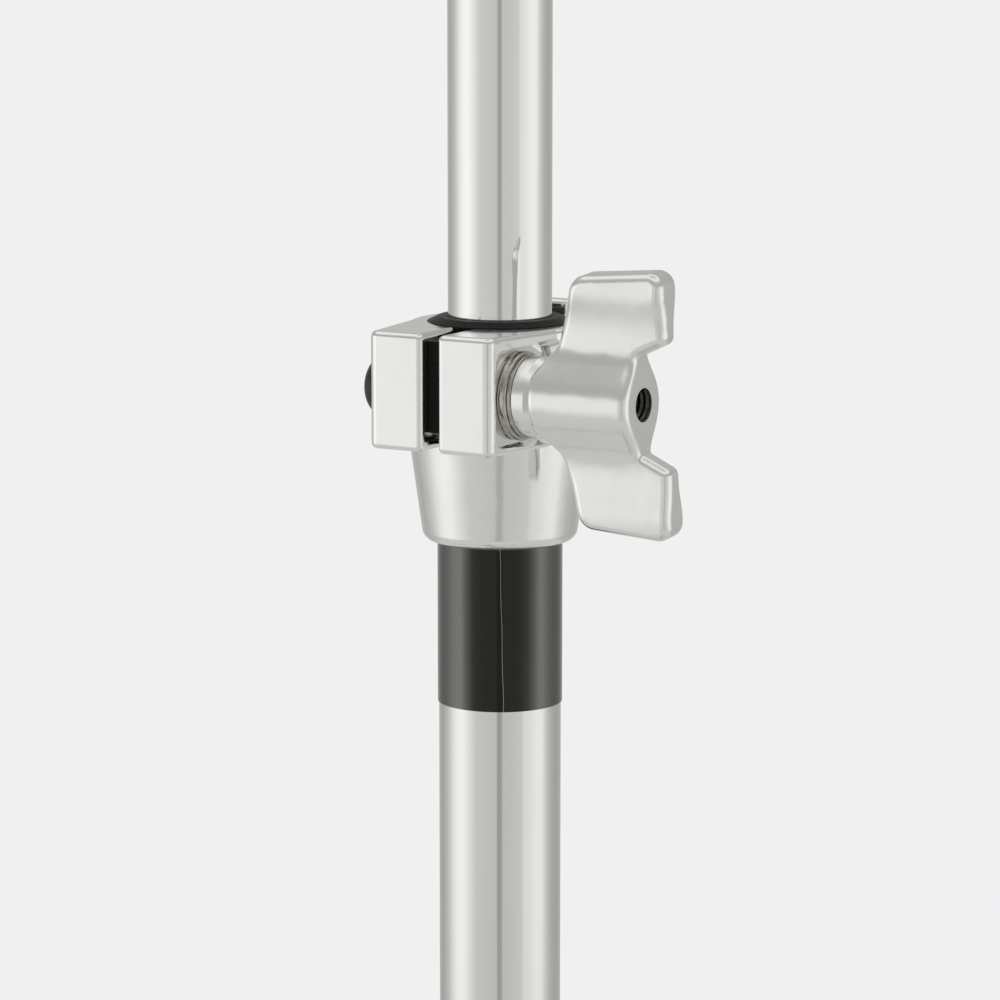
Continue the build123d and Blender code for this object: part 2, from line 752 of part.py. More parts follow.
with BuildPart() as leg_hub:
    with BuildSketch(Plane.XZ):
        with BuildLine():
            Polyline(
                (LOWER_R + RUN, HUB_BASE),
                (ledge_r, HUB_BASE),
                (ledge_r, ledge_z),
                (HUB_R, ledge_z + (ledge_r - HUB_R) * slope_tan),
                (HUB_R, HUB_TOP),
                (LOWER_R + RUN, HUB_TOP),
                close=True,
            )
        make_face()
    revolve(axis=Axis.Z)
    for azimuth in LEG_AZIMUTHS.values():
        for side in (1, -1):
            ear = pin_plane(azimuth).offset(ear_inner if side > 0 else -ear_outer)
            upright = Plane(origin=ear.origin, x_dir=(cos(radians(azimuth)), sin(radians(azimuth)), 0), z_dir=ear.z_dir)
            turn = 1 if upright.y_dir.Z > 0 else -1
            with BuildSketch(upright):
                with BuildLine():
                    FilletPolyline(
                        (-18, turn * -12),
                        (2, turn * -12),
                        (7.5, turn * -5),
                        (7.5, turn * 7),
                        (-2, turn * 11),
                        (-18, turn * 11),
                        radius=[0.5, 4, 4, 4, 4, 0.5],
                        close=True,
                    )
                make_face()
            extrude(amount=ear_outer - ear_inner)
    with BuildSketch(radial_plane(HUB_BOLT_AZIMUTH, 15, HUB_BOLT_Z)):
        Circle(7.5)
    extrude(amount=12)
    with BuildSketch(Plane.XY.offset(HUB_BASE)):
        Circle(LOWER_R + RUN)
    extrude(amount=HUB_TOP - HUB_BASE + 5, mode=Mode.SUBTRACT)
    for azimuth in LEG_AZIMUTHS.values():
        with BuildSketch(pin_plane(azimuth)):
            Circle(PIVOT_R)
        extrude(amount=ear_outer + 1, both=True, mode=Mode.SUBTRACT)
    with BuildSketch(radial_plane(HUB_BOLT_AZIMUTH, 10, HUB_BOLT_Z)):
        Circle(3.2)
    extrude(amount=20, mode=Mode.SUBTRACT)
save(leg_hub, "leg_hub")

save(plug(radial_plane(HUB_BOLT_AZIMUTH, LOWER_R + 0.02, HUB_BOLT_Z), 3.15, 3.3), "hub_pad")
hub_bolt = wing(radial_plane(HUB_BOLT_AZIMUTH, LOWER_R + 3.32, HUB_BOLT_Z), 12, 3.15)
save(hub_bolt, "hub_wing_bolt")

for name, azimuth in LEG_AZIMUTHS.items():
    with BuildPart() as leg:
        with BuildSketch(leg_plane(azimuth).offset(-LEG_ROOT)):
            RectangleRounded(LEG_WIDTH, LEG_HEIGHT, 2.5)
            RectangleRounded(LEG_WIDTH - 2 * LEG_WALL, LEG_HEIGHT - 2 * LEG_WALL, 1.2, mode=Mode.SUBTRACT)
        extrude(amount=LEG_LENGTH + LEG_ROOT)
        with BuildSketch(pin_plane(azimuth)):
            Circle(PIVOT_R + RUN)
        extrude(amount=LEG_WIDTH, both=True, mode=Mode.SUBTRACT)
    save(leg, f"leg_{name}")

    with BuildPart() as pin:
        with BuildSketch(pin_plane(azimuth)):
            Circle(PIVOT_R)
        extrude(amount=ear_outer, both=True)
        for side in (ear_outer, -ear_outer - 1.4):
            with BuildSketch(pin_plane(azimuth).offset(side)):
                Circle(4.4)
            extrude(amount=1.4)
    save(pin, f"leg_pin_{name}")

    with BuildPart() as foot:
        with Locations(leg_plane(azimuth).offset(LEG_LENGTH).origin):
            Sphere(FOOT_R)
        with BuildSketch(leg_plane(azimuth).offset(LEG_LENGTH - 36)):
            RectangleRounded(LEG_WIDTH + 5, LEG_HEIGHT + 5, 4.5)
        extrude(amount=36)
        add(leg.part, mode=Mode.SUBTRACT)
        split(bisect_by=Plane.XY, keep=Keep.TOP)
    save(foot, f"foot_{name}")

# ---------------------------------------------------------------- cymbal seat
tube_cap = turned(
    [
        (ROD_R + 0.3, UPPER_TOP - 16),
        (UPPER_R - UPPER_WALL, UPPER_TOP - 16),
        (UPPER_R - UPPER_WALL, UPPER_TOP),
        (12.2, UPPER_TOP),
        (13, UPPER_TOP + 1),
        (13, UPPER_TOP + 7),
        (ROD_R + 0.3, UPPER_TOP + 7),
    ]
)
save(tube_cap, "tube_cap")

with BuildPart() as seat_base:
    with BuildSketch(Plane.XY.offset(UPPER_TOP + 7)):
        Circle(25)
    extrude(amount=4)
    chamfer(seat_base.faces().sort_by(Axis.Z)[-1].edges(), 1)
    with BuildSketch(Plane.XY.offset(UPPER_TOP + 1)):
        with Locations((TILTER_X, 0)):
            Circle(5)
    extrude(amount=8)
    for y_start in (6, -9):
        with BuildSketch(Plane.XZ.offset(-y_start)):
            with Locations((TILT_X, TILT_Z)):
                Circle(2.9)
            with Locations((TILT_X, TILT_Z - 2.5)):
                Rectangle(5.8, 5)
        extrude(amount=-3)
    with BuildSketch(Plane.XZ):
        with Locations((TILT_X, TILT_Z)):
            Circle(1.5)
    extrude(amount=12, both=True, mode=Mode.SUBTRACT)
    with BuildSketch(Plane.XY.offset(UPPER_TOP)):
        Circle(ROD_R + 0.3)
        with Locations((TILTER_X, 0)):
            Circle(2.6)
    extrude(amount=20, mode=Mode.SUBTRACT)
save(seat_base, "seat_base")

with BuildPart() as seat_hinge_pin:
    with BuildSketch(Plane.XZ):
        with Locations((TILT_X, TILT_Z)):
            Circle(1.5)
    extrude(amount=9, both=True)
save(seat_hinge_pin, "seat_hinge_pin")

with BuildPart() as seat_cup:
    with BuildSketch(Plane.XY.offset(CUP_BASE)):
        Circle(24)
    extrude(amount=CUP_TOP - CUP_BASE)
    chamfer(seat_cup.faces().sort_by(Axis.Z)[0].edges(), 2)
    with BuildSketch(Plane.XY.offset(CUP_TOP)):
        Circle(BOSS_R + 1)
    extrude(amount=FELT_TOP - CUP_TOP)
    with BuildSketch(Plane.XY.offset(FELT_TOP)):
        Circle(BOSS_R)
    extrude(amount=BOSS_TOP - FELT_TOP)
    fillet(seat_cup.faces().sort_by(Axis.Z)[-1].edges(), 1)
    with BuildSketch(Plane.XZ):
        with Locations((TILT_X, TILT_Z)):
            Circle(2.6)
        with Locations((TILT_X, TILT_Z + 2.5)):
            Rectangle(5.2, 5)
    extrude(amount=5.7, both=True)
    with BuildSketch(Plane.XZ):
        with Locations((TILT_X, TILT_Z)):
            Circle(1.5 + RUN)
    extrude(amount=12, both=True, mode=Mode.SUBTRACT)
    with BuildSketch(Plane.XY.offset(CUP_BASE)):
        Circle(5.4)
    extrude(amount=40, mode=Mode.SUBTRACT)
save(seat_cup, "seat_cup")

with BuildPart() as seat_felt:
    with BuildSketch(Plane.XY.offset(CUP_TOP)):
        Circle(20)
        Circle(BOSS_R + 1.2, mode=Mode.SUBTRACT)
    extrude(amount=FELT_TOP - CUP_TOP)
    fillet(seat_felt.faces().sort_by(Axis.Z)[-1].edges().sort_by(SortBy.LENGTH)[-1], 2)
save(seat_felt, "seat_felt")

tip_base = CUP_BASE - 2.55
with BuildPart() as tilter_tip:
    with BuildSketch(Plane.XY.offset(tip_base)):
        with Locations((TILTER_X, 0)):
            Circle(2.5)
    extrude(amount=2.5)
    fillet(tilter_tip.faces().sort_by(Axis.Z)[-1].edges(), 2.3)
save(tilter_tip, "tilter_tip")

with BuildPart() as tilter_screw:
    with BuildSketch(Plane.XY.offset(UPPER_TOP - 9)):
        with Locations((TILTER_X, 0)):
            Circle(2.5)
    extrude(amount=tip_base - UPPER_TOP + 9)
    with BuildSketch(Plane.XY.offset(UPPER_TOP - 18)):
        with Locations((TILTER_X, 0)):
            Circle(7)
            with PolarLocations(7.6, 10):
                Circle(1.5, mode=Mode.SUBTRACT)
    extrude(amount=9)
save(tilter_screw, "tilter_screw")

# ---------------------------------------------------------------- clutch
with BuildPart() as clutch_body:
    with BuildSketch(Plane.XY.offset(CLUTCH_BASE)):
        Circle(CLUTCH_STEM_R)
    extrude(amount=CLUTCH_SHOULDER - CLUTCH_BASE)
    with BuildSketch(Plane.XY.offset(CLUTCH_SHOULDER)):
        Circle(10)
    extrude(amount=CLUTCH_TOP - CLUTCH_SHOULDER)
    chamfer(clutch_body.faces().sort_by(Axis.Z)[-1].edges(), 1.5)
    with BuildSketch(Plane.XY.offset(CLUTCH_BASE)):
        Circle(ROD_R + RUN)
    extrude(amount=CLUTCH_TOP - CLUTCH_BASE, mode=Mode.SUBTRACT)
    with BuildSketch(Plane.YZ):
        with Locations((0, CLUTCH_SCREW_Z)):
            Circle(2.6)
    extrude(amount=14, mode=Mode.SUBTRACT)
save(clutch_body, "clutch_body")
save(plug(radial_plane(0, ROD_R + 0.02, CLUTCH_SCREW_Z), 2.5, 3), "clutch_pad")
save(wing(radial_plane(0, ROD_R + 3.02, CLUTCH_SCREW_Z), 5.5, 2.5), "clutch_wing_screw")

with BuildPart() as clutch_top_nut:
    with BuildSketch(Plane.XY.offset(CLUTCH_SHOULDER - 8)):
        Circle(11)
        with PolarLocations(11.8, 14):
            Circle(1.6, mode=Mode.SUBTRACT)
        Circle(CLUTCH_STEM_R, mode=Mode.SUBTRACT)
    extrude(amount=8)
save(clutch_top_nut, "clutch_top_nut")

for name, base in (("clutch_felt_upper", CLUTCH_BASE + 24), ("clutch_felt_lower", CLUTCH_BASE + 10)):
    with BuildPart() as felt:
        with BuildSketch(Plane.XY.offset(base)):
            Circle(15)
            Circle(CLUTCH_STEM_R + 0.3, mode=Mode.SUBTRACT)
        extrude(amount=14)
        fillet(felt.edges().filter_by(GeomType.CIRCLE).sort_by(SortBy.RADIUS)[-2:], 2)
    save(felt, name)

with BuildPart() as clutch_bottom_nut:
    with BuildSketch(Plane.XY.offset(CLUTCH_BASE + 2)):
        Circle(11)
        with PolarLocations(11.8, 14):
            Circle(1.6, mode=Mode.SUBTRACT)
        Circle(CLUTCH_STEM_R + RUN, mode=Mode.SUBTRACT)
    extrude(amount=8)
save(clutch_bottom_nut, "clutch_bottom_nut")

print(f"toe pin {TOE_PIN_Z:.3f}, yoke pin {YOKE_PIN_Z:.3f}, reach {hypot(HEEL_Y, TOE_PIN_Z - HEEL_Z):.3f}")
print(f"leg slope {LEG_SLOPE:.3f}")
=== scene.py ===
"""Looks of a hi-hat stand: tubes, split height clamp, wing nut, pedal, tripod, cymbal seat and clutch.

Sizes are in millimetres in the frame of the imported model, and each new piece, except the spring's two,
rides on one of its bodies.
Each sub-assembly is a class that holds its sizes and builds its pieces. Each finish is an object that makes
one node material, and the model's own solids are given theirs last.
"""

import json
import logging
from dataclasses import dataclass, field
from enum import Enum
from math import atan2, cos, degrees, hypot, pi, radians, sin, tan
from typing import Iterable, Sequence

import bmesh
import bpy
from mathutils import Matrix, Vector, noise


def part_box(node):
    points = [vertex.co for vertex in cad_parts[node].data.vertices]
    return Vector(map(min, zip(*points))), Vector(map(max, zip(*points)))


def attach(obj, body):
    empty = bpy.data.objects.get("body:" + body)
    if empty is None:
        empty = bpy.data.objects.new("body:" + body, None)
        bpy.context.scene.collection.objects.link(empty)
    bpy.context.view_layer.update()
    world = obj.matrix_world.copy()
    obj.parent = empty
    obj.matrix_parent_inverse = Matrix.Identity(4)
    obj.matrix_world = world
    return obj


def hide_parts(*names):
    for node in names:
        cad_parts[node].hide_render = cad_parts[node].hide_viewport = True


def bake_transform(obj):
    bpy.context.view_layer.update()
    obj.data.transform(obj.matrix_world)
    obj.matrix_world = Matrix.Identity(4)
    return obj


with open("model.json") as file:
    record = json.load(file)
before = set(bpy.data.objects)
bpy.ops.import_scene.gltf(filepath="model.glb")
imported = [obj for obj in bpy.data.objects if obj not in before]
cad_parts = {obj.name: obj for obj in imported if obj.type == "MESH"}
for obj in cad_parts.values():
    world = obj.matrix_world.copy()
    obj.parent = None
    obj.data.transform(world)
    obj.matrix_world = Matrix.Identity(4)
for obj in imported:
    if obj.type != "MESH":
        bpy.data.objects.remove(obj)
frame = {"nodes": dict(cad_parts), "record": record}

log = logging.getLogger("hi_hat_stand")
MM = 0.001
Colour = tuple[float, float, float]
Place = tuple[float, float, float]
Point = tuple[float, float]
Face = tuple[int, ...]


class Body(Enum):
    """The moving groups of the stand that new pieces ride on."""

    STAND = "stand"
    WING_NUT = "wing_nut"
    UPPER = "upper_section"
    SEAT = "cymbal_seat"
    PEDAL = "pedal"
    PULL_ROD = "pull_rod"
    SPRING_SUPPORT = "spring_support"
    CLUTCH = "clutch"
    LOWER_FELT = "lower_felt"


# ------------------------------------------------------------------ finishes


class Nodes:
    """A thin wrapper round a node tree that makes and joins nodes."""

    def __init__(self, tree: bpy.types.NodeTree) -> None:
        """Keeps the tree that the nodes go into.

        Args:
            tree: The node tree to fill.
        """
        self.tree = tree

    def add(self, kind: str, **settings: object) -> bpy.types.Node:
        """Adds a node and sets its properties and unlinked inputs.

        Args:
            kind: The node's type name, such as ShaderNodeTexNoise.
            settings: Properties by name, or input values by the input's name with underscores for spaces.

        Returns:
            The new node.
        """
        node = self.tree.nodes.new(kind)
        for name, value in settings.items():
            if hasattr(node, name):
                setattr(node, name, value)
            else:
                node.inputs[name.replace("_", " ")].default_value = value
        return node

    def join(self, source: bpy.types.NodeSocket, target: bpy.types.NodeSocket) -> None:
        """Links one socket to another.

        Args:
            source: The output socket.
            target: The input socket that it feeds.
        """
        self.tree.links.new(source, target)


@dataclass(frozen=True)
class Finish:
    """A finish with fine colour variation, roughness variation and surface relief.

    Attributes:
        name: The material's name.
        colour: The base colour.
        shade: The darker colour that the variation mixes in.
        metallic: 1 for bare metal, 0 for the rest.
        rough: The lowest and highest roughness.
        grain: How many features the variation has in a metre.
        relief: How strongly the grain shows as relief.
        depth: The relief's depth in metres.
        stretch: The grain's scale along X, Y and Z.
        ior: The refractive index of its gloss.
        sheen: The weight of a cloth sheen.
        detail: How much finer detail the grain has.
        wave: How many slow waves of the surface there are in a metre, or 0 for none.
        wave_depth: The height of those waves in metres.
    """

    name: str
    colour: Colour
    shade: Colour
    metallic: float = 0.0
    rough: Point = (0.3, 0.5)
    grain: float = 400.0
    relief: float = 0.2
    depth: float = 0.0001
    stretch: Place = (1.0, 1.0, 1.0)
    ior: float = 1.5
    sheen: float = 0.0
    detail: float = 3.0
    wave: float = 0.0
    wave_depth: float = 0.0

    def material(self) -> bpy.types.Material:
        """Makes the material once, and returns it each time after.

        Returns:
            The node material.
        """
        title = f"{self.name}_finish"
        made = bpy.data.materials.get(title)
        if made:
            return made
        made = bpy.data.materials.new(title)
        made.use_nodes = True
        made.node_tree.nodes.clear()
        nodes = Nodes(made.node_tree)
        out = nodes.add("ShaderNodeOutputMaterial")
        shader = nodes.add("ShaderNodeBsdfPrincipled", Metallic=self.metallic, IOR=self.ior)
        shader.inputs["Sheen Weight"].default_value = self.sheen
        nodes.join(shader.outputs["BSDF"], out.inputs["Surface"])
        grain = self.speckle(nodes, self.grain, self.stretch)
        self.paint(nodes, shader, grain)
        self.gloss(nodes, shader)
        return made

    def speckle(self, nodes: Nodes, scale: float, stretch: Place) -> bpy.types.NodeSocket:
        """Makes a solid noise in the object's own space.

        Args:
            nodes: The tree to add to.
            scale: Features in a metre.
            stretch: The noise's scale along X, Y and Z.

        Returns:
            The noise's value.
        """
        place = nodes.add("ShaderNodeTexCoord")
        mapping = nodes.add("ShaderNodeMapping")
        mapping.inputs["Scale"].default_value = stretch
        spots = nodes.add("ShaderNodeTexNoise", Scale=scale, Detail=self.detail, Roughness=0.55)
        nodes.join(place.outputs["Object"], mapping.inputs["Vector"])
        nodes.join(mapping.outputs["Vector"], spots.inputs["Vector"])
        return spots.outputs["Fac"]

    def gloss(self, nodes: Nodes, shader: bpy.types.Node) -> None:
        """Leaves the gloss as it is; a finish with a layered gloss adds it here.

        Args:
            nodes: The tree to add to.
            shader: The surface shader.
        """

    def paint(self, nodes: Nodes, shader: bpy.types.Node, grain: bpy.types.NodeSocket) -> None:
        """Drives the shader's colour, roughness and relief from the grain.

        Args:
            nodes: The tree to add to.
            shader: The surface shader.
            grain: The noise's value.
        """
        ramp = nodes.add("ShaderNodeValToRGB")
        ramp.color_ramp.elements[0].position = 0.3
        ramp.color_ramp.elements[1].position = 0.7
        ramp.color_ramp.elements[0].color = (*self.shade, 1)
        ramp.color_ramp.elements[1].color = (*self.colour, 1)
        spread = nodes.add("ShaderNodeMapRange")
        spread.inputs["To Min"].default_value = self.rough[0]
        spread.inputs["To Max"].default_value = self.rough[1]
        bump = nodes.add("ShaderNodeBump", Strength=self.relief, Distance=self.depth)
        nodes.join(grain, ramp.inputs["Fac"])
        nodes.join(ramp.outputs["Color"], shader.inputs["Base Color"])
        nodes.join(grain, spread.inputs["Value"])
        nodes.join(spread.outputs["Result"], shader.inputs["Roughness"])
        nodes.join(grain, bump.inputs["Height"])
        nodes.join(bump.outputs["Normal"], shader.inputs["Normal"])
        if self.wave:
            slow = self.speckle(nodes, self.wave, (1, 1, 1))
            swell = nodes.add("ShaderNodeBump", Strength=1.0, Distance=self.wave_depth)
            nodes.join(slow, swell.inputs["Height"])
            nodes.join(swell.outputs["Normal"], bump.inputs["Normal"])


@dataclass(frozen=True)
class GlossyFilm(Finish):
    """A dark film under a clear layer that mirrors more towards its edges.

    Attributes:
        rise: (facing, weight) stops of the clear layer, facing from 0 square on to 1 edge on.
        layer_ior: The refractive index of that layer.
        layer_rough: Its roughness.
    """

    rise: tuple[Point, ...] = (
        (0.06, 0.0), (0.12, 0.06), (0.18, 0.34), (0.24, 0.68),
        (0.31, 0.66), (0.43, 0.58), (0.6, 0.44), (0.8, 0.6),
    )
    layer_ior: float = 2.6
    layer_rough: float = 0.04

    def gloss(self, nodes: Nodes, shader: bpy.types.Node) -> None:
        """Adds the clear layer, which rises with the slant of the surface.

        Args:
            nodes: The tree to add to.
            shader: The surface shader.
        """
        slant = nodes.add("ShaderNodeLayerWeight", Blend=0.5)
        rise = nodes.add("ShaderNodeValToRGB")
        Studio.fill_ramp(rise, self.rise)
        shader.inputs["Coat IOR"].default_value = self.layer_ior
        shader.inputs["Coat Roughness"].default_value = self.layer_rough
        nodes.join(slant.outputs["Facing"], rise.inputs["Fac"])
        nodes.join(rise.outputs["Color"], shader.inputs["Coat Weight"])


DRAWN = (6, 6, 0.25)
CHROME_TUBE = Finish(
    "chrome_tube", (0.87, 0.87, 0.87), (0.845, 0.845, 0.85),
    metallic=1.0, rough=(0.02, 0.045), grain=60.0, relief=0.03, depth=0.0001, stretch=DRAWN,
)
# Painted light: the upper tube's chrome is a brighter copy of the tube chrome, for the brighter light that it
# mirrors.
CHROME_UPPER_TUBE_PAINTED_LIGHT = Finish(
    "chrome_upper_tube_painted_light", (0.92, 0.92, 0.92), (0.9, 0.9, 0.905),
    metallic=1.0, rough=(0.02, 0.045), grain=60.0, relief=0.03, depth=0.0001, stretch=DRAWN,
)
CHROME_CASTING = Finish(
    "chrome_casting", (0.96, 0.96, 0.96), (0.935, 0.94, 0.945),
    metallic=1.0, rough=(0.09, 0.13), grain=140.0, relief=0.04, depth=0.0002, wave=75.0, wave_depth=0.0001,
)
CHROME_NUT = Finish(
    "chrome_wing_nut", (0.95, 0.95, 0.95), (0.925, 0.93, 0.935),
    metallic=1.0, rough=(0.17, 0.23), grain=170.0, relief=0.06, depth=0.0002, wave=90.0, wave_depth=0.0001,
)
# Washer steel: partly its own colour, partly painted shade, darkened with dark mottling for the shade of the
# clamp's recess.
WASHER_STEEL_PAINTED_SHADE = Finish(
    "washer_steel_painted_shade", (0.64, 0.62, 0.58), (0.36, 0.34, 0.32),
    metallic=1.0, rough=(0.08, 0.18), grain=350.0, relief=0.15, depth=0.00006,
)
ZINC_STEEL = Finish(
    "zinc_steel", (0.68, 0.68, 0.66), (0.6, 0.6, 0.58),
    metallic=1.0, rough=(0.22, 0.36), grain=700.0, relief=0.15, depth=0.00006,
)
# Painted shade: the thread's steel is nearly black, standing in for the shade inside the wing nut's bore.
THREAD_STEEL_PAINTED_SHADE = Finish(
    "thread_steel_painted_shade", (0.1, 0.095, 0.09), (0.04, 0.038, 0.036),
    metallic=1.0, rough=(0.1, 0.25), grain=900.0, relief=0.15, depth=0.00006,
)
BLACK_OXIDE = Finish(
    "black_oxide", (0.01, 0.01, 0.011), (0.005, 0.005, 0.006),
    rough=(0.18, 0.3), grain=800.0, relief=0.1, depth=0.00005,
)
NYLON = Finish(
    "black_nylon", (0.004, 0.004, 0.004), (0.002, 0.002, 0.002),
    rough=(0.25, 0.5), grain=1100.0, relief=0.8, depth=0.0003, ior=1.22,
)
FILM = GlossyFilm(
    "label_film", (0.003, 0.0026, 0.0022), (0.002, 0.002, 0.0018),
    rough=(0.06, 0.1), grain=300.0, relief=0.02, depth=0.00005, ior=1.45,
)
RUBBER = Finish(
    "black_rubber", (0.022, 0.022, 0.022), (0.012, 0.012, 0.012),
    rough=(0.5, 0.75), grain=1200.0, relief=0.3, depth=0.0002,
)
ALUMINIUM = Finish(
    "cast_aluminium", (0.74, 0.75, 0.76), (0.66, 0.67, 0.68),
    metallic=1.0, rough=(0.26, 0.4), grain=900.0, relief=0.2, depth=0.0001,
)
BRASS = Finish(
    "plain_brass", (0.8, 0.62, 0.3), (0.7, 0.52, 0.24),
    metallic=1.0, rough=(0.2, 0.35), grain=700.0, relief=0.1, depth=0.00005,
)
WHITE_FELT = Finish(
    "white_felt", (0.74, 0.73, 0.69), (0.55, 0.54, 0.5),
    rough=(0.85, 0.98), grain=1600.0, relief=0.9, depth=0.0006, sheen=0.4, detail=8.0,
)


# ------------------------------------------------------------------ mesh tools


def piece_from(
    name: str, verts: Sequence[Sequence[float]], faces: Sequence[Sequence[int]]
) -> bpy.types.Object:
    """Makes an object from points in millimetres and faces.

    Args:
        name: The piece's name.
        verts: Points in millimetres.
        faces: Rings of indices into the points.

    Returns:
        The new object, linked to the scene.
    """
    mesh = bpy.data.meshes.new(name)
    mesh.from_pydata([tuple(c * MM for c in v) for v in verts], [], [tuple(f) for f in faces])
    mesh.validate()
    made = bpy.data.objects.new(name, mesh)
    bpy.context.scene.collection.objects.link(made)
    return made


def smooth(piece: bpy.types.Object, angle: float = 32.0) -> None:
    """Shades a piece smoothly, with sharp edges kept and normals weighted by face size.

    Args:
        piece: The object to shade.
        angle: The angle in degrees above which an edge stays sharp.
    """
    mesh = piece.data
    mesh.polygons.foreach_set("use_smooth", [True] * len(mesh.polygons))
    mesh.set_sharp_from_angle(angle=radians(angle))
    weighted = piece.modifiers.new("normals", "WEIGHTED_NORMAL")
    weighted.keep_sharp = True
    weighted.weight = 60
    mesh.update()


def dress(
    piece: bpy.types.Object, finish: Finish, body: Body, stands_for: Iterable[str] = ()
) -> None:
    """Gives a new piece its finish and body, and hides the solids it stands for.

    Args:
        piece: The new object.
        finish: Its finish.
        body: The moving group it rides on.
        stands_for: Names of the model's solids that it replaces.
    """
    piece.data.materials.clear()
    piece.data.materials.append(finish.material())
    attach(piece, body.value)
    names = list(stands_for)
    if names:
        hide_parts(*names)
    log.info("piece %s: %d faces on %s", piece.name, len(piece.data.polygons), body.value)


def repaint(node: str, finish: Finish, angle: float = 32.0) -> None:
    """Gives one of the model's own solids a finish and smooth shading.

    Args:
        node: The solid's name.
        finish: Its finish.
        angle: The angle in degrees above which an edge stays sharp.
    """
    solid = frame["nodes"][node]
    solid.data.materials.clear()
    solid.data.materials.append(finish.material())
    smooth(solid, angle)
    log.info("solid %s: %s, %d faces", node, finish.name, len(solid.data.polygons))


def lathe(name: str, profile: Sequence[Point], place: Matrix, around: int = 128) -> bpy.types.Object:
    """Turns a closed outline of (radius, height) points round an axis.

    Args:
        name: The piece's name.
        profile: The outline, anticlockwise, in millimetres.
        place: Where the axis stands: its Z is the axis, in millimetres.
        around: How many steps the turn has.

    Returns:
        The new object.
    """
    verts: list[Vector] = []
    faces: list[Face] = []
    count = len(profile)
    for step in range(around):
        turn = 2 * pi * step / around
        verts += [place @ Vector((r * cos(turn), r * sin(turn), z)) for r, z in profile]
    for step in range(around):
        here, there = step * count, (step + 1) % around * count
        for i in range(count):
            j = (i + 1) % count
            faces.append((here + i, there + i, there + j, here + j))
    made = piece_from(name, verts, faces)
    tidy(made)
    return made


def tidy(piece: bpy.types.Object, gap: float = 0.001) -> None:
    """Merges points that meet and turns every face outwards.

    Args:
        piece: The object to clean.
        gap: The distance in millimetres under which points merge.
    """
    work = bmesh.new()
    work.from_mesh(piece.data)
    bmesh.ops.remove_doubles(work, verts=work.verts, dist=gap * MM)
    bmesh.ops.recalc_face_normals(work, faces=work.faces)
    work.to_mesh(piece.data)
    work.free()


def rounded(corners: Sequence[Place], steps: int = 6) -> list[Point]:
    """Rounds the corners of a closed outline.

    Args:
        corners: (x, y, radius) for each corner, in order.
        steps: How many steps each rounding has.

    Returns:
        The outline's points.
    """
    points: list[Point] = []
    count = len(corners)
    for i, (x, y, radius) in enumerate(corners):
        before, after = corners[i - 1], corners[(i + 1) % count]
        here = Vector((x, y))
        inward = (Vector(before[:2]) - here).normalized()
        outward = (Vector(after[:2]) - here).normalized()
        if radius <= 0:
            points.append((x, y))
            continue
        half = inward.angle(outward) / 2
        reach = radius / tan(half)
        start, end = here + inward * reach, here + outward * reach
        centre = here + (inward + outward).normalized() * (radius / sin(half))
        first = atan2(start.y - centre.y, start.x - centre.x)
        sweep = (atan2(end.y - centre.y, end.x - centre.x) - first + pi) % (2 * pi) - pi
        for k in range(steps + 1):
            turn = first + sweep * k / steps
            points.append((centre.x + radius * cos(turn), centre.y + radius * sin(turn)))
    return points


# ------------------------------------------------------------------ studio


